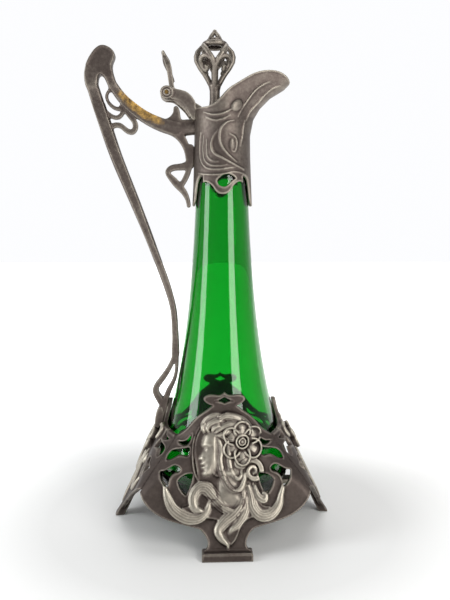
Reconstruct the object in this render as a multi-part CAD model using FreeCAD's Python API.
"""Claret decanter: flared glass in a pierced cast base, with a spouted collar, hinged lid and whiplash handle.

Millimetres, +Z up. The origin lies on the glass axis at table level, +X points to the spout and -Y to the front.
"""

import FreeCAD
import Part
import math
import os

Vector = FreeCAD.Vector

# Glass: its radius falls along an exponential flare from the heel to the neck
GLASS_TOP_Z = 315.0
GLASS_BOTTOM_Z = 29.0
GLASS_HEEL_Z = 46.0
GLASS_HEEL_INSET = 9.0
GLASS_NECK_R = 18.0
GLASS_FLARE = 60.5
GLASS_FLARE_LENGTH = 93.0
GLASS_WALL = 3.0
GLASS_FLOOR = 4.5
GLASS_GAP = 0.6

# Base skirt: a rounded square that flares from the glass down to four feet
SKIRT_WALL = 3.4
FOOT_SPREAD = 31.1
SKIRT_WAIST_Z = 60.0
SKIRT_SHOULDER_Z = 76.0
SKIRT_CORNER_R = 12.0
SKIRT_WAIST_CORNER_R = 30.0
SKIRT_TOP_FLAT = 7.0
CREST_Z = 108.0
HORN_Z = 95.0
CORNER_TOP_Z = 74.0
ARCH_PEAK_Z = 44.0
ARCH_FOOT_Z = 18.4
FOOT_NECK_HALF = 13.6
PLINTH_HALF = 18.0
PLINTH_HEIGHT = 5.5
PLINTH_DEPTH = 11.0
PLINTH_PROUD = 2.0
PLINTH_CHAMFER = 1.0

# Medallion on the front and back panels
RELIEF_FIELD = 1.4
RELIEF_FORM = 2.8
FLOWER_X = 13.5
FLOWER_Z = 73.0
PETAL_R = 4.6
PETAL_RING_R = 6.4
PETALS = 6
FLOWER_EYE_R = 3.4

# Seat inside the base
SEAT_SETBACK = 0.9
SEAT_WIDTH = 12.0
SEAT_THICKNESS = 4.5
SEAT_ARM_HALF = 5.0
BED_THICKNESS = 1.2
BED_SETBACK = 1.0

# Neck collar and spout
COLLAR_WALL = 2.0
COLLAR_BOTTOM_Z = 253.0
COLLAR_STRAIGHT_Z = 300.0
LEDGE_DROP = 2.7
LEDGE_WIDTH = 1.8
RIM_Z = 332.7
SPOUT_REACH = 57.0
SPOUT_RISE = 31.0
NECK_PLASTER_HEIGHT = 16.0
PLASTER_SLACK = 0.1
LEG_INNER_X = 19.5
LEG_TIP_HALF = 5.0
LEG_TAPER = 22.0
LEG_CORE_HALF = 16.0

# Lid and hinge
LID_CLEARANCE = 0.6
LID_THICKNESS = 2.0
LID_DRAW_BACK = 2.4
FLANGE_CLEARANCE = 1.2
FLANGE_WALL = 1.6
FLANGE_DEPTH = 6.0
HINGE_BACK = 22.6
HINGE_RISE = 13.3
BARREL_R = 5.5
PIN_R = 1.6
PIN_PROUD = 0.4
PIN_PRESS_GAP = 0.01
PIN_RUN_GAP = 0.05
KNUCKLE_HALF = 2.8
KNUCKLE_GAP = 0.3
CHEEK_WIDTH = 4.0
THUMB_HEIGHT = 34.6

# Finial, held on the lid by a stud and nut
FINIAL_X = -6.0
FINIAL_FOOT_R = 6.5
FINIAL_STEM_R = 4.2
FINIAL_BULB_R = 17.0
FINIAL_HEIGHT = 68.0
FINIAL_RIB = 3.6
STUD_R = 2.0
STUD_GAP = 0.05
STUD_ENGAGE = 12.0
WASHER_R = 5.0
WASHER_THICKNESS = 0.8
NUT_ACROSS = 7.0
NUT_THICKNESS = 3.0
STUD_TAIL = 1.0

# Handle
HANDLE_DEPTH = 8.0
CREST_DEPTH = 10.0
SCROLL_DEPTH = 5.0
STEM_DEPTH = 6.5
LEAF_DEPTH = 9.0

LOFT_DEGREE = 3
MARGIN = 60.0
FAR = 200.0


def glass_radius(z):
    """Outer radius of the glass at height z."""
    return GLASS_NECK_R + GLASS_FLARE * math.exp(-z / GLASS_FLARE_LENGTH)


def spline(points):
    """Smooth edge through points."""
    curve = Part.BSplineCurve()
    curve.interpolate(points)
    return curve.toShape()


def upright(points):
    """Points of the XZ plane from (x, z) pairs."""
    return [Vector(x, 0, z) for x, z in points]


def run_edge(points):
    """A line through two points, or a smooth curve through more."""
    if len(points) == 2:
        return Part.makeLine(points[0], points[1])
    return spline(points)


def prism(runs, low, high):
    """Solid between y = low and y = high with an outline in XZ, given as runs of (x, z) pairs."""
    face = Part.Face(Part.Wire([run_edge(upright(run)) for run in runs]))
    face.translate(Vector(0, low, 0))
    return face.extrude(Vector(0, high - low, 0))


def mirrored(runs):
    """Runs of a right half, followed by their mirror image back to the start."""
    left = [[(-x, z) for x, z in reversed(run)] for run in reversed(runs)]
    return runs + left


def flipped(runs):
    """The mirror image of an outline."""
    return [[(-x, z) for x, z in run] for run in runs]


def band(stations, depth):
    """Whiplash band in the XZ plane: stations are (x, z, width) along its middle, with rounded ends."""
    middle = upright([(x, z) for x, z, width in stations])
    curve = Part.BSplineCurve()
    curve.interpolate(middle)
    left = []
    right = []
    for point, (x, z, width) in zip(middle, stations):
        along = curve.tangent(curve.parameter(point))[0]
        across = Vector(-along.z, 0, along.x) * (width / 2)
        left.append(point + across)
        right.append(point - across)
    start = curve.tangent(curve.FirstParameter)[0] * (stations[0][2] / 2)
    end = curve.tangent(curve.LastParameter)[0] * (stations[-1][2] / 2)
    edges = [
        run_edge(left),
        Part.Arc(left[-1], middle[-1] + end, right[-1]).toShape(),
        run_edge(right[::-1]),
        Part.Arc(right[0], middle[0] - start, left[0]).toShape(),
    ]
    face = Part.Face(Part.Wire(edges))
    face.translate(Vector(0, -depth / 2, 0))
    return face.extrude(Vector(0, depth, 0))


def turned(profile, x=0.0):
    """Solid of revolution about the vertical axis at x, from edges in the XZ plane."""
    solid = Part.Face(Part.Wire(profile)).revolve(Vector(), Vector(0, 0, 1), 360)
    solid.translate(Vector(x, 0, 0))
    return solid


def ring(inner, outer, low, high, x=0.0):
    """Plain ring about the vertical axis at x."""
    body = Part.makeCylinder(outer, high - low, Vector(x, 0, low))
    return body.cut(Part.makeCylinder(inner, high - low, Vector(x, 0, low)))


def cross_cylinder(radius, low, high, x, z):
    """Cylinder along Y from y = low to y = high."""
    return Part.makeCylinder(radius, high - low, Vector(x, low, z), Vector(0, 1, 0))


def single(shape):
    """The one solid of a shape, with split faces joined."""
    merged = shape.removeSplitter()
    return max(merged.Solids, key=lambda solid: solid.Volume)


# Glass body


def flare_points(inset, low, high, steps=9):
    """Points down the flare, inset from the outer face."""
    heights = [high + (low - high) * step / (steps - 1) for step in range(steps)]
    return [(glass_radius(z) - inset, z) for z in heights]


def make_glass():
    """Flared vessel with a rounded heel and an open neck."""
    outer = flare_points(0, GLASS_HEEL_Z, GLASS_TOP_Z)
    inner = flare_points(GLASS_WALL, GLASS_HEEL_Z, GLASS_TOP_Z)
    floor_z = GLASS_BOTTOM_Z + GLASS_FLOOR
    heel_r = outer[-1][0]
    heel_mid_z = (GLASS_HEEL_Z + GLASS_BOTTOM_Z) / 2 - GLASS_HEEL_INSET / 4
    outer_heel = [outer[-1], (heel_r - GLASS_HEEL_INSET / 4, heel_mid_z)]
    outer_heel.append((heel_r - GLASS_HEEL_INSET, GLASS_BOTTOM_Z))
    inner_heel = [inner[-1], (heel_r - GLASS_WALL - GLASS_HEEL_INSET / 3, heel_mid_z + GLASS_FLOOR)]
    inner_heel.append((heel_r - GLASS_WALL - GLASS_HEEL_INSET, floor_z))
    edges = [
        spline(upright(outer)),
        spline(upright(outer_heel)),
        run_edge(upright([outer_heel[-1], (0, GLASS_BOTTOM_Z)])),
        run_edge(upright([(0, GLASS_BOTTOM_Z), (0, floor_z)])),
        run_edge(upright([(0, floor_z), inner_heel[-1]])),
        spline(upright(inner_heel[::-1])),
        spline(upright(inner[::-1])),
        run_edge(upright([inner[0], outer[0]])),
    ]
    return turned(edges)


# Base


def foot_reach():
    """Distance from the glass axis to a foot's outer face at table level."""
    return glass_radius(GLASS_HEEL_Z) + FOOT_SPREAD


def skirt_half(z):
    """Half-width of the skirt across its flats: straight from the foot to the shoulder, then along the glass."""
    along_glass = glass_radius(max(z, SKIRT_SHOULDER_Z)) + GLASS_GAP + SKIRT_WALL
    below = max(SKIRT_SHOULDER_Z - z, 0) / SKIRT_SHOULDER_Z
    return along_glass + (foot_reach() - along_glass) * below


def skirt_corner(z):
    """Corner radius of the skirt's section at height z."""
    if z >= SKIRT_SHOULDER_Z:
        return skirt_half(z) - SKIRT_TOP_FLAT
    if z >= SKIRT_WAIST_Z:
        return SKIRT_WAIST_CORNER_R
    return SKIRT_CORNER_R


def skirt_section(z, inset):
    """Rounded square wire at height z, inset from the outer face."""
    half = skirt_half(z) - inset
    corner = skirt_corner(z) - inset
    flat = half - corner
    diagonal = flat + corner * math.sqrt(0.5)
    edges = []
    for quarter in range(4):
        turn = FreeCAD.Rotation(Vector(0, 0, 1), 90 * quarter)
        points = [(-flat, -half), (flat, -half), (diagonal, -diagonal), (half, -flat)]
        start, side, middle, finish = [turn.multVec(Vector(x, y, z)) for x, y in points]
        edges.append(Part.makeLine(start, side))
        edges.append(Part.Arc(side, middle, finish).toShape())
    return Part.Wire(edges)


def skirt_solid(inset):
    """Filled skirt, inset from the outer face and run past the crest and the table."""
    levels = [-PLINTH_HEIGHT, ARCH_PEAK_Z / 2, ARCH_PEAK_Z, SKIRT_WAIST_Z, SKIRT_SHOULDER_Z]
    levels += [HORN_Z, CREST_Z + PLINTH_HEIGHT]
    return Part.makeLoft([skirt_section(z, inset) for z in levels], True, False, False, LOFT_DEGREE)


def foot_runs():
    """Right half of a panel's lower edge, from the corner peak to the foot's middle."""
    peak = skirt_half(ARCH_PEAK_Z)
    neck = FOOT_NECK_HALF
    arch = [
        (peak, ARCH_PEAK_Z),
        (peak - 8.5, ARCH_PEAK_Z - 13),
        (neck + 23, ARCH_FOOT_Z + 4),
        (neck + 6, ARCH_FOOT_Z),
    ]
    ankle = [(neck + 6, ARCH_FOOT_Z), (neck + 1.2, ARCH_FOOT_Z - 5), (neck, ARCH_FOOT_Z - 9)]
    ankle.append((neck + 2.9, PLINTH_HEIGHT))
    beyond = (FAR / 2, ARCH_PEAK_Z + 26)
    return [
        [(FAR / 2, CORNER_TOP_Z - 0.5), beyond],
        [beyond, arch[0]],
        arch,
        ankle,
        [ankle[-1], (neck + 2.9, 0)],
        [(neck + 2.9, 0), (0, 0)],
    ]


def on_panel(rows):
    """Points of a panel from shares of its half-width at the corner tops and the rise above them."""
    wide = skirt_half(CORNER_TOP_Z)
    return [(share * wide, CORNER_TOP_Z + rise) for share, rise in rows]


def crest_runs():
    """Right half of a medallion panel's upper edge, with its bracket crest."""
    top = CREST_Z
    slope = on_panel([(0.58, 6), (0.765, 0), (1, -0.5)])
    bracket = [(0, top), (5, top - 2.4), (12, top - 2), (16, top - 5), (13, top - 8.4), (8.5, top - 9.5)]
    shoulder = [bracket[-1], (13, top - 13), (21, top - 19)] + slope
    return [bracket, shoulder, [slope[-1], (FAR / 2, slope[-1][1])]]


def horn_runs():
    """Right half of a side panel's upper edge, with its slim horn."""
    top = HORN_Z
    slope = on_panel([(0.44, 2.2), (0.765, 0), (1, -0.5)])
    horn = [(0, top), (2.8, top - 4), (5, top - 10), (10, top - 16)] + slope
    return [horn, [slope[-1], (FAR / 2, slope[-1][1])]]


def panel_windows():
    """The right-hand openings of a panel, round an S-shaped scroll."""
    crescent = [
        [(0.493, 4.4), (0.594, -1.6), (0.736, -2.6)],
        [(0.736, -2.6), (0.596, -4.8), (0.493, 4.4)],
    ]
    over = [
        [(0.535, -5), (0.656, -6.6), (0.773, -7.8), (0.889, -14.2)],
        [(0.889, -14.2), (0.773, -12.8), (0.672, -10.6), (0.592, -11), (0.535, -5)],
    ]
    hook = [
        [(0.98, -20), (0.839, -18), (0.724, -16.4), (0.676, -18.4), (0.712, -21)],
        [(0.712, -21), (0.801, -22.8), (0.841, -26), (0.849, -31)],
        [(0.849, -31), (0.938, -27), (0.98, -20)],
    ]
    drop = [
        [(0.716, -26), (0.632, -22.8), (0.483, -21.6)],
        [(0.483, -21.6), (0.515, -28), (0.592, -35.5)],
        [(0.592, -35.5), (0.676, -31), (0.716, -26)],
    ]
    return [[on_panel(run) for run in window] for window in (crescent, over, hook, drop)]


def medallion_field():
    """Outline of the raised field that carries the head, flower and hair."""
    right = [(0, 92), (10, 89.6), (17.4, 83.4), (22.4, 76), (24, 66), (22, 56), (20.4, 46)]
    right += [(22.4, 36.4), (32, 32)]
    under = [(32, 32), (29, 26.8), (19, 25.4), (11, 21), (7.4, 14.4), (2.6, 9.4)]
    tail = [(2.6, 9.4), (-1.6, 14), (-4, 22), (-13, 25.2), (-25, 26.4), (-32, 32)]
    left = [(-32, 32), (-23, 36.6), (-20.6, 46), (-21.6, 56), (-23, 66), (-21.6, 75)]
    left += [(-17, 83), (-9, 89.2), (0, 92)]
    return [right, under, tail, left]


def medallion_forms():
    """Prisms of the head, neck and flower, cut to height by the skin above the panel."""
    nape = [(-4, 80), (5, 76), (6.4, 65), (1, 54.4), (-6.4, 51)]
    brow = [(-6.4, 51), (-12.4, 57), (-14, 67), (-11, 76), (-4, 80)]
    neck = band([(1, 58, 12), (4, 47, 12), (5, 38, 16)], 2 * FAR)
    forms = [prism([nape, brow], -FAR, FAR), neck, cross_cylinder(FLOWER_EYE_R, -FAR, FAR, FLOWER_X, FLOWER_Z)]
    for petal in range(PETALS):
        turn = 2 * math.pi * (petal + 0.5) / PETALS
        x = FLOWER_X + PETAL_RING_R * math.cos(turn)
        z = FLOWER_Z + PETAL_RING_R * math.sin(turn)
        forms.append(cross_cylinder(PETAL_R, -FAR, FAR, x, z))
    return forms[0].fuse(forms[1:])


def make_medallion(skirt):
    """Raised field, head and flower that stand on the front panel's face."""
    front = Part.makeBox(2 * FAR, FAR, 2 * FAR, Vector(-FAR, -FAR, 0))
    field = skirt_solid(-RELIEF_FIELD).common(prism(medallion_field(), -FAR, 0))
    forms = skirt_solid(-RELIEF_FORM).common(medallion_forms()).common(front)
    return field.fuse(forms).cut(skirt)


def make_panel(shell, top_runs, crest_windows):
    """Front panel: a mitred sector of the skirt shell, pierced and footed."""
    corner = [(0, 0), (FAR, -FAR), (-FAR, -FAR), (0, 0)]
    wedge = Part.Face(Part.makePolygon([Vector(x, y, -FAR) for x, y in corner]))
    sector = shell.common(wedge.extrude(Vector(0, 0, 2 * FAR)))
    panel = sector.common(prism(mirrored(top_runs + foot_runs()), -FAR, 0))
    for window in panel_windows():
        panel = panel.cut([prism(window, -FAR, 0), prism(flipped(window), -FAR, 0)])
    for window in crest_windows:
        panel = panel.cut(prism(window, -FAR, 0))
    front = -foot_reach() - PLINTH_PROUD
    plinth = Part.makeBox(2 * PLINTH_HALF, PLINTH_DEPTH, PLINTH_HEIGHT, Vector(-PLINTH_HALF, front, 0))
    upper = [edge for edge in plinth.Edges if edge.BoundBox.ZMin > PLINTH_HEIGHT / 2]
    return single(panel.fuse(plinth.makeChamfer(PLINTH_CHAMFER, upper)))


def crest_windows():
    """The small lens inside the bracket crest."""
    top = CREST_Z
    half = [[(0, top - 3.4), (3.5, top - 5.4), (8, top - 6.6)], [(8, top - 6.6), (3.4, top - 7), (0, top - 8.4)]]
    return [mirrored(half)]


def seat_radii():
    """Inner and outer radius of the seat under the glass's flat bottom."""
    outer = glass_radius(GLASS_HEEL_Z) - GLASS_HEEL_INSET - SEAT_SETBACK
    return outer - SEAT_WIDTH, outer


def make_seat(cavity):
    """Ring under the glass with four arms that reach the panels."""
    top = GLASS_BOTTOM_Z - BED_THICKNESS
    low = top - SEAT_THICKNESS
    inner, outer = seat_radii()
    seat = ring(inner, outer, low, top)
    middle = (inner + outer) / 2
    for quarter in range(4):
        arm = Part.makeBox(FAR, 2 * SEAT_ARM_HALF, SEAT_THICKNESS, Vector(middle, -SEAT_ARM_HALF, low))
        arm.rotate(Vector(), Vector(0, 0, 1), 90 * quarter)
        seat = seat.fuse(arm.common(cavity))
    return single(seat)


# Collar


def collar_radius(z):
    """Outer radius of the collar's round part."""
    return glass_radius(min(z, COLLAR_STRAIGHT_Z)) + GLASS_GAP + COLLAR_WALL


def collar_section(z, reach, tip, inset):
    """Teardrop wire at height z: a round back and a spout tip of radius tip at x = reach."""
    back = collar_radius(z)
    centre = reach - tip
    lean = math.acos((back - tip) / centre)
    back -= inset
    tip -= inset
    normal = Vector(math.cos(lean), math.sin(lean), 0)
    mirror = Vector(normal.x, -normal.y, 0)
    level = Vector(0, 0, z)
    nose = level + Vector(centre, 0, 0)
    heel = level + Vector(-back, 0, 0)
    half = (math.pi + lean) / 2
    quarter = Vector(math.cos(half), math.sin(half), 0) * back
    edges = [
        Part.Arc(level + normal * back, level + quarter, heel).toShape(),
        Part.Arc(heel, level + Vector(quarter.x, -quarter.y, 0), level + mirror * back).toShape(),
        Part.makeLine(level + mirror * back, nose + mirror * tip),
        Part.Arc(nose + mirror * tip, nose + Vector(tip, 0, 0), nose + normal * tip).toShape(),
        Part.makeLine(nose + normal * tip, level + normal * back),
    ]
    return Part.Wire(edges)


def collar_solid(inset):
    """Filled collar, inset from the outer face and run past the rim and the legs."""
    round_levels = [COLLAR_BOTTOM_Z - 4, RIM_Z - 57.7, RIM_Z - 38.7, RIM_Z - 21.7]
    rows = [(-0.26, 0.09, 0.783), (0.04, 0.25, 0.63), (0.33, 0.512, 0.5)]
    rows += [(0.56, 0.853, 0.413), (0.75, 1.017, 0.391), (1.1, 1.15, 0.391)]
    wires = [collar_section(z, collar_radius(z) + 0.3, collar_radius(z) - 0.3, inset) for z in round_levels]
    for rise, share, tip in rows:
        z = RIM_Z + rise * SPOUT_RISE
        wires.append(collar_section(z, toward_lip(share), tip * collar_radius(z), inset))
    return Part.makeLoft(wires, True, True)


def toward_lip(share):
    """Distance from the axis at a share of the way from the collar to the spout's lip."""
    back = collar_radius(RIM_Z)
    return back + share * (SPOUT_REACH - back)


def rim_cutter():
    """What lies above the rim, from the low back up to the beak."""
    rows = [(-1.212, 0), (-0.874, 0.074), (-0.574, 0.413), (-0.274, 0.655), (0.1, 0.903), (0.47, 1)]
    rows += [(0.735, 0.965), (0.924, 0.823), (1, 0.645)]
    edge = [(toward_lip(share), RIM_Z + rise * SPOUT_RISE) for share, rise in rows]
    corners = [(FAR, edge[-1][1]), (FAR, 3 * FAR), (-FAR, 3 * FAR), (-FAR, RIM_Z), edge[0]]
    sides = [[start, finish] for start, finish in zip([edge[-1]] + corners, corners)]
    return prism([edge] + sides, -FAR, FAR)


def leg_cutter():
    """What lies below the scrolled lower edge, between the two side legs."""
    low = COLLAR_BOTTOM_Z
    wave = [
        (-LEG_INNER_X, low - 9),
        (-LEG_INNER_X + 0.6, low + 10),
        (-14.5, low + 18.5),
        (-8.5, low + 15),
        (-5, low + 10),
        (0, low + 8.4),
        (5.5, low + 11),
        (9, low + 16.5),
        (13.6, low + 19),
        (LEG_INNER_X - 0.6, low + 10),
        (LEG_INNER_X, low - 9),
    ]
    return prism([wave, [wave[-1], wave[0]]], -FAR, FAR)


def scroll_window():
    """The crescent window over the scroll."""
    low = COLLAR_BOTTOM_Z
    return [
        [(-4.6, low + 20), (-3, low + 15.6), (1.4, low + 14.6), (6, low + 18.4), (10.6, low + 21)],
        [(10.6, low + 21), (3, low + 24.6), (-4.6, low + 20)],
    ]


def leg_trimmer():
    """What lies beside the two legs, so that they narrow to rounded tongues seen along X."""
    low = COLLAR_BOTTOM_Z
    wide = collar_radius(low) + 2
    side = [(0, low), (LEG_TIP_HALF, low + 1.2), (LEG_TIP_HALF + 3, low + 8), (wide, low + LEG_TAPER)]
    sides = [side, [side[-1], (wide, low - LEG_TAPER)], [(wide, low - LEG_TAPER), (0, low - LEG_TAPER)]]
    outside = prism(sides, -FAR, FAR)
    outside.rotate(Vector(), Vector(0, 0, 1), 90)
    trimmer = outside.fuse(outside.mirror(Vector(), Vector(0, 1, 0)))
    core = Part.makeBox(2 * LEG_CORE_HALF, 2 * FAR, FAR, Vector(-LEG_CORE_HALF, -FAR, low - LEG_TAPER))
    return trimmer.cut(core)


def make_collar(outer):
    """Thin cast collar with the spout, an inner ledge for the lid and scrolled legs."""
    ledge_z = RIM_Z - LEDGE_DROP
    below = Part.makeBox(2 * FAR, 2 * FAR, ledge_z, Vector(-FAR, -FAR, 0))
    plaster_top = GLASS_TOP_Z + GLASS_GAP
    throat = collar_solid(COLLAR_WALL + LEDGE_WIDTH).common(below)
    upper = collar_solid(COLLAR_WALL).cut(below)
    lower = collar_solid(COLLAR_WALL).common(Part.makeBox(2 * FAR, 2 * FAR, plaster_top, Vector(-FAR, -FAR, 0)))
    collar = outer.cut(throat).cut(upper).cut(lower)
    collar = collar.cut(rim_cutter()).cut(leg_trimmer()).cut(leg_cutter())
    return single(collar.cut(prism(scroll_window(), -FAR, FAR)))


def make_neck_plaster():
    """Bedding ring between the glass neck and the collar."""
    low = COLLAR_STRAIGHT_Z - NECK_PLASTER_HEIGHT
    inner = flare_points(-PLASTER_SLACK, low, COLLAR_STRAIGHT_Z, 4)
    outer = flare_points(PLASTER_SLACK - GLASS_GAP, low, COLLAR_STRAIGHT_Z, 4)
    edges = [
        spline(upright(inner)),
        run_edge(upright([inner[-1], outer[-1]])),
        spline(upright(outer[::-1])),
        run_edge(upright([outer[0], inner[0]])),
    ]
    return turned(edges)


# Hinge and lid

COLLAR_BACK = -collar_radius(RIM_Z)
HINGE_X = COLLAR_BACK - HINGE_BACK
HINGE_Z = RIM_Z + HINGE_RISE
LID_LOW = RIM_Z - LEDGE_DROP
LID_TOP = LID_LOW + LID_THICKNESS
CHEEK_INNER = KNUCKLE_HALF + KNUCKLE_GAP
CHEEK_OUTER = CHEEK_INNER + CHEEK_WIDTH


def make_cheek(side, outer):
    """Humped ear from the collar's back to the hinge barrel, on the side of the given sign."""
    back = COLLAR_BACK
    stations = [
        (HINGE_X, HINGE_Z, 2 * BARREL_R - 1),
        (HINGE_X + 7, HINGE_Z - 1.4, 8.6),
        (back - 8.6, HINGE_Z - 3.4, 9),
        (back - 2.8, RIM_Z + 3.2, 8.6),
        (back + 0.6, RIM_Z - 6, 7),
    ]
    arm = band(stations, CHEEK_WIDTH)
    arm.translate(Vector(0, side * (CHEEK_INNER + CHEEK_OUTER) / 2, 0))
    low = min(side * CHEEK_INNER, side * CHEEK_OUTER)
    barrel = cross_cylinder(BARREL_R, low, low + CHEEK_WIDTH, HINGE_X, HINGE_Z)
    bore = cross_cylinder(PIN_R + PIN_PRESS_GAP, -FAR, FAR, HINGE_X, HINGE_Z)
    return single(arm.fuse(barrel).cut(bore).cut(outer))


def make_pin():
    """Hinge pin, held in the cheeks."""
    half = CHEEK_OUTER + PIN_PROUD
    return cross_cylinder(PIN_R, -half, half, HINGE_X, HINGE_Z)


def make_lid_plate():
    """Plate on the collar's inner ledge, drawn back at the front to swing clear, with a hole for the stud."""
    radius = collar_radius(RIM_Z) - COLLAR_WALL - LID_CLEARANCE
    plate = Part.makeCylinder(radius, LID_THICKNESS, Vector(0, 0, LID_LOW))
    plate = plate.common(Part.makeCylinder(radius, LID_THICKNESS, Vector(-LID_DRAW_BACK, 0, LID_LOW)))
    hole = Part.makeCylinder(STUD_R + STUD_GAP, LID_THICKNESS, Vector(FINIAL_X, 0, LID_LOW))
    return plate.cut(hole)


def make_lid_flange():
    """Short ring under the plate that enters the throat."""
    radius = collar_radius(RIM_Z) - COLLAR_WALL - LEDGE_WIDTH - FLANGE_CLEARANCE
    return ring(radius - FLANGE_WALL, radius, LID_LOW - FLANGE_DEPTH, LID_LOW)


def make_lid_strap():
    """Strap from the plate over the rim to the hinge knuckle."""
    back = COLLAR_BACK
    end = FINIAL_X - FINIAL_FOOT_R - 0.4
    stations = [
        (HINGE_X, HINGE_Z, 6.5),
        (HINGE_X + 7, HINGE_Z - 2, 5),
        (back - 7, HINGE_Z - 6, 4.4),
        (back + 0.6, RIM_Z + 3.6, 4),
        (back + 6, LID_TOP + 1.2, 3.4),
    ]
    width = 2 * KNUCKLE_HALF
    strap = band(stations, width)
    toe = Part.makeBox(end - back - 4.2, width, LID_THICKNESS, Vector(back + 4.2, -KNUCKLE_HALF, LID_TOP))
    knuckle = cross_cylinder(BARREL_R, -KNUCKLE_HALF, KNUCKLE_HALF, HINGE_X, HINGE_Z)
    bore = cross_cylinder(PIN_R + PIN_RUN_GAP, -FAR, FAR, HINGE_X, HINGE_Z)
    below = Part.makeBox(2 * FAR, 2 * FAR, LID_TOP, Vector(-FAR, -FAR, 0))
    return single(strap.fuse([toe, knuckle]).cut(below).cut(bore))


def make_thumbpiece(strap):
    """Leaf-shaped lever that stands on the strap by the knuckle."""
    tip = HINGE_Z + THUMB_HEIGHT
    stations = [
        (HINGE_X + 6.4, HINGE_Z - 1, 5),
        (HINGE_X + 3, tip - 23, 4),
        (HINGE_X + 1.5, tip - 13, 4.4),
        (HINGE_X - 1.5, tip - 5.4, 3.6),
        (HINGE_X - 4, tip - 0.7, 1.4),
    ]
    lever = band(stations, MARGIN)
    base = HINGE_Z - BARREL_R
    leaf = [(0, tip + 2), (3.4, tip - 6), (6.2, tip - 12), (4.4, tip - 19), (KNUCKLE_HALF, tip - 26)]
    sides = [leaf, [leaf[-1], (KNUCKLE_HALF, base)], [(KNUCKLE_HALF, base), (0, base)]]
    blade = prism(mirrored(sides), -FAR, FAR)
    blade.rotate(Vector(), Vector(0, 0, 1), 90)
    barrels = cross_cylinder(BARREL_R + KNUCKLE_GAP, -FAR, FAR, HINGE_X, HINGE_Z)
    return single(lever.common(blade).cut(strap).cut(barrels))


def finial_points(rows):
    """Points of the finial from shares of the bulb's radius and of the height above the lid."""
    return [(share * FINIAL_BULB_R, LID_TOP + rise * FINIAL_HEIGHT) for share, rise in rows]


def finial_band(rows):
    """Band across the whole bulb, from shares of its radius, of the height and of the width."""
    points = finial_points([(share, rise) for share, rise, width in rows])
    widths = [width * FINIAL_BULB_R for share, rise, width in rows]
    return band([(x, z, width) for (x, z), width in zip(points, widths)], 2 * FAR)


def finial_openwork():
    """What stays of the bulb: two side ribs and a stem that parts into volutes under an arch, front and back."""
    volute = [(0, 0.57, 0.2), (0.05, 0.65, 0.2), (0.2, 0.687, 0.2), (0.4, 0.692, 0.19), (0.56, 0.662, 0.17)]
    volute += [(0.6, 0.615, 0.16), (0.47, 0.59, 0.15)]
    arch = [(0.62, 0.63, 0.1), (0.6, 0.69, 0.11), (0.45, 0.745, 0.12), (0.18, 0.785, 0.14), (0.02, 0.81, 0.14)]
    stem = [(0, 0.26, 0.3), (0, 0.42, 0.24), (0, 0.6, 0.2)]
    bands = []
    for rows in (volute, arch):
        bands.append(finial_band(rows))
        bands.append(finial_band([(-share, rise, width) for share, rise, width in rows]))
    rib = FINIAL_RIB / 2
    ribs = Part.makeBox(2 * FAR, 2 * rib, 2 * FAR, Vector(-FAR, -rib, LID_TOP))
    return ribs.fuse(bands + [finial_band(stem)])


def make_finial():
    """Turned stem, openwork bulb and pierced point."""
    low = LID_TOP
    foot = FINIAL_FOOT_R
    stem = [(foot, low + 0.018 * FINIAL_HEIGHT), (FINIAL_STEM_R + 0.6, low + 0.06 * FINIAL_HEIGHT)]
    stem += [(FINIAL_STEM_R, low + 0.16 * FINIAL_HEIGHT)] + finial_points([(0.3, 0.318)])
    swell = finial_points([(0.3, 0.318), (0.51, 0.412), (0.78, 0.504), (0.965, 0.59), (1, 0.663), (0.91, 0.738)])
    swell += finial_points([(0.7, 0.794), (0.56, 0.841)])
    point = finial_points([(0.56, 0.841), (0.31, 0.888), (0.17, 0.95), (0, 1)])
    hollow = finial_points([(0, 0.35), (0.34, 0.412), (0.61, 0.504), (0.79, 0.59), (0.82, 0.663), (0.73, 0.738)])
    hollow += finial_points([(0.46, 0.785), (0, 0.8)])
    edges = [
        run_edge(upright([(0, low), (foot, low)])),
        run_edge(upright([(foot, low), stem[0]])),
        spline(upright(stem)),
        spline(upright(swell)),
        spline(upright(point)),
        run_edge(upright([point[-1], (0, low)])),
    ]
    solid = turned(edges)
    solid = solid.cut(turned([spline(upright(hollow)), run_edge(upright([hollow[-1], hollow[0]]))]))
    floor_z, roof_z = [z for x, z in finial_points([(0, 0.33), (0, 0.79)])]
    zone = Part.makeCylinder(2 * FINIAL_BULB_R, roof_z - floor_z, Vector(0, 0, floor_z))
    solid = solid.cut(zone.cut(finial_openwork()))
    eye = finial_points([(0, 0.86), (0.13, 0.895), (0, 0.945)])
    for quarter in (0, 90):
        cutter = prism([eye, flipped([eye])[0][::-1]], -FAR, FAR)
        cutter.rotate(Vector(), Vector(0, 0, 1), quarter)
        solid = solid.cut(cutter)
    solid.translate(Vector(FINIAL_X, 0, 0))
    bore = Part.makeCylinder(STUD_R + STUD_GAP, STUD_ENGAGE, Vector(FINIAL_X, 0, low))
    return single(solid.cut(bore))


def make_stud():
    """Stud through the plate into the finial."""
    low = LID_LOW - WASHER_THICKNESS - NUT_THICKNESS - STUD_TAIL
    return Part.makeCylinder(STUD_R, LID_TOP + STUD_ENGAGE - low, Vector(FINIAL_X, 0, low))


def make_nut():
    """Hexagon nut under the washer."""
    low = LID_LOW - WASHER_THICKNESS - NUT_THICKNESS
    corner_r = NUT_ACROSS / math.sqrt(3)
    corners = [Vector(FINIAL_X + corner_r * math.cos(a), corner_r * math.sin(a), low) for a in hexagon()]
    nut = Part.Face(Part.makePolygon(corners)).extrude(Vector(0, 0, NUT_THICKNESS))
    return nut.cut(Part.makeCylinder(STUD_R + STUD_GAP, NUT_THICKNESS, Vector(FINIAL_X, 0, low)))


def hexagon():
    """Seven angles round a hexagon, back to its start."""
    return [math.radians(60 * step) for step in range(7)]


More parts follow.
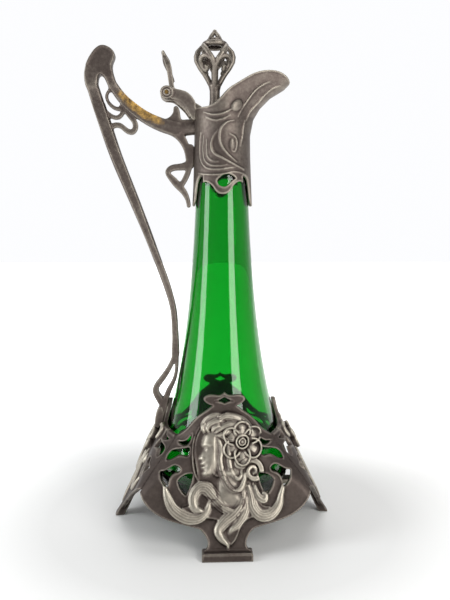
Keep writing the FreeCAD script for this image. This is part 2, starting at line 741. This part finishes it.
def make_washer():
    """Washer between the plate and the nut."""
    return ring(STUD_R + STUD_GAP, WASHER_R, LID_LOW - WASHER_THICKNESS, LID_LOW, FINIAL_X)


# Handle


def upper_stations(rows):
    """Stations given from the collar's back rim: distance behind it, rise above it, width."""
    return [(COLLAR_BACK - behind, RIM_Z + rise, width) for behind, rise, width in rows]


def lower_stations(rows):
    """Stations given from the horn of the handle's panel: distance behind it, rise above it, width."""
    horn = -skirt_half(HORN_Z)
    return [(horn - behind, HORN_Z + rise, width) for behind, rise, width in rows]


def handle_crest():
    """Swelling at the handle's top, where the long arm and the upper arm part."""
    rows = [(88.6, 17, 0), (90.2, 29, 0), (85.6, 43, 0), (75.6, 52, 0), (68.4, 49.4, 0), (65.1, 44.4, 0)]
    rows += [(67, 38.2, 0), (66.4, 29, 0), (62.8, 19, 0)]
    fork = [(62.8, 19, 0), (69, 16.4, 0), (74.6, 26.6, 0), (76.6, 28.4, 0), (78.6, 26, 0), (79.4, 17, 0)]
    outer = [(x, z) for x, z, width in upper_stations(rows)]
    inner = [(x, z) for x, z, width in upper_stations(fork)]
    runs = [outer, inner[:2], inner[1:5], inner[4:], [inner[-1], outer[0]]]
    return prism(runs, -CREST_DEPTH / 2, CREST_DEPTH / 2)


def handle_long_arm():
    """Long arm from the crest to the fork above the base."""
    rows = [(83.9, 19, 9.2), (73.5, -13, 9), (63, -41.5, 8), (48.2, -78, 6.5), (34.6, -113, 5.2)]
    foot = [(-2.2, 80, 4.4), (-5, 55, 4.8), (-5.4, 36, 6.4)]
    return band(upper_stations(rows) + lower_stations(foot), HANDLE_DEPTH)


def handle_fork():
    """Two strips round the slim slot at the handle's lower end."""
    outer = [(-5, 38, 4), (-1, 26, 3.8), (6.4, 14.6, 4.4), (11, 6.4, 5), (8, -0.6, 5.4), (3.4, -8, 6.4)]
    inner = [(-6, 38, 3.6), (-6.4, 27, 3), (-4.4, 15, 3), (0, 6, 4), (3, -4, 5), (3.4, -14, 5)]
    return [band(lower_stations(rows), HANDLE_DEPTH) for rows in (outer, inner)]


def handle_upper_arm():
    """Upper arm from the crest to the collar, with the fin at its end."""
    arm = [(66, 18.6, 7.4), (60.2, 10.2, 8), (51.4, 1.6, 9), (39.6, -6.7, 9.6), (27.6, -12.2, 10.4), (15, -16, 11)]
    reach = [(19, -13.4, 8), (6, -11.6, 7), (-4, -11.4, 7)]
    fin = [(26, -8, 0), (19.2, -5, 0), (17.4, -1.6, 0), (16.9, 2, 0), (15.2, 3, 0), (13.7, 2.2, 0), (11.6, -4, 0)]
    fin += [(7.6, -11.4, 0)]
    edge = [(x, z) for x, z, width in upper_stations(fin)]
    half = STEM_DEPTH / 2
    return [
        band(upper_stations(arm), HANDLE_DEPTH),
        band(upper_stations(reach), STEM_DEPTH),
        prism([edge, [edge[-1], edge[0]]], -half, half),
    ]


def handle_stem():
    """Stem down the collar's back, with its open loop and free tail."""
    spine = [(20, -16, 9), (11, -23, 7), (6, -33, 5.4), (4.2, -42, 5.6), (4.8, -50, 4.6)]
    spine += [(8, -58, 4.4), (11, -63, 4)]
    loop = [(5, -44.4, 5), (12.6, -47.4, 5.4), (19, -48.6, 5), (21.8, -51.6, 4.4), (19.4, -56, 4.8)]
    loop += [(14, -62, 6), (8.6, -68, 5), (5.6, -74, 3.8), (4.6, -79.4, 3.4)]
    pad = [(3, -31, 5), (1, -38, 9), (2, -45, 6)]
    return [band(upper_stations(rows), STEM_DEPTH) for rows in (spine, loop, pad)]


def handle_scrolls():
    """S-shaped braces between the two arms."""
    loop = [(64.6, 16.4, 2.8), (69.4, 15.8, 2.6), (72.2, 11.2, 2.6), (69.6, 4.4, 2.8)]
    loop += [(63.6, 0.4, 3), (58, 1.4, 3)]
    upper = [(73.8, -1, 3.4), (68.6, -5.4, 3.4), (63, -6.8, 3.4), (59.4, -3.4, 3.4), (60, 2.4, 3.4)]
    lower = [(69.6, -17.6, 4.4), (65.6, -13.2, 4.2), (61, -13.4, 4.2), (56, -17.2, 4.2), (51, -18.6, 4.4)]
    lower += [(48.4, -14.2, 4.4), (51, -7.6, 4.4), (55, -2, 4.4)]
    return [band(upper_stations(rows), SCROLL_DEPTH) for rows in (loop, upper, lower)]


def make_handle(collar, skirt):
    """One casting, trimmed where it is soldered to the collar and the base."""
    pieces = [handle_long_arm()] + handle_fork() + handle_upper_arm() + handle_stem() + handle_scrolls()
    return single(handle_crest().fuse(pieces).cut(collar).cut(skirt))


def make_handle_leaf(handle, skirt):
    """Leaf under the handle's lower end, on the panel's face."""
    rows = [(7, -9, 4), (7.4, -14, 7), (9, -20, 5.6), (13.4, -28, 1.6)]
    return single(band(lower_stations(rows), LEAF_DEPTH).cut(handle).cut(skirt))


def make_base_plaster():
    """Bedding ring between the seat and the glass."""
    inner, outer = seat_radii()
    return ring(inner + BED_SETBACK, outer - BED_SETBACK, GLASS_BOTTOM_Z - BED_THICKNESS, GLASS_BOTTOM_Z)


def build():
    """All pieces by name."""
    skirt = skirt_solid(0)
    cavity = skirt_solid(SKIRT_WALL)
    shell = skirt.cut(cavity)
    medallion_panel = single(make_panel(shell, crest_runs(), crest_windows()).fuse(make_medallion(skirt)))
    side_panel = make_panel(shell, horn_runs(), [])
    collar = collar_solid(0)
    horn_block = skirt.common(Part.makeBox(2 * FAR, 2 * FAR, HORN_Z, Vector(-FAR, -FAR, 0)))
    handle = make_handle(collar, horn_block)
    strap = make_lid_strap()
    parts = {
        "glass_body": make_glass(),
        "base_seat": make_seat(cavity),
        "base_plaster": make_base_plaster(),
        "neck_collar": make_collar(collar),
        "neck_plaster": make_neck_plaster(),
        "handle": handle,
        "handle_leaf": make_handle_leaf(handle, horn_block),
        "hinge_cheek_front": make_cheek(-1, collar),
        "hinge_cheek_back": make_cheek(1, collar),
        "hinge_pin": make_pin(),
        "lid_plate": make_lid_plate(),
        "lid_flange": make_lid_flange(),
        "lid_strap": strap,
        "thumbpiece": make_thumbpiece(strap),
        "finial": make_finial(),
        "finial_stud": make_stud(),
        "finial_washer": make_washer(),
        "finial_nut": make_nut(),
    }
    sides = {"front": 0, "spout": 90, "back": 180, "handle": 270}
    for name, angle in sides.items():
        panel = medallion_panel if name in ("front", "back") else side_panel
        parts["base_panel_" + name] = panel.rotated(Vector(), Vector(0, 0, 1), angle)
    return parts


def main():
    """Write one file per piece."""
    os.makedirs("parts", exist_ok=True)
    for name, shape in build().items():
        if not shape.isValid() or len(shape.Solids) != 1:
            print("check", name, shape.isValid(), len(shape.Solids))
        shape.exportStep("parts/" + name + ".step")
    print("hinge at", round(HINGE_X, 3), round(HINGE_Z, 3))


main()
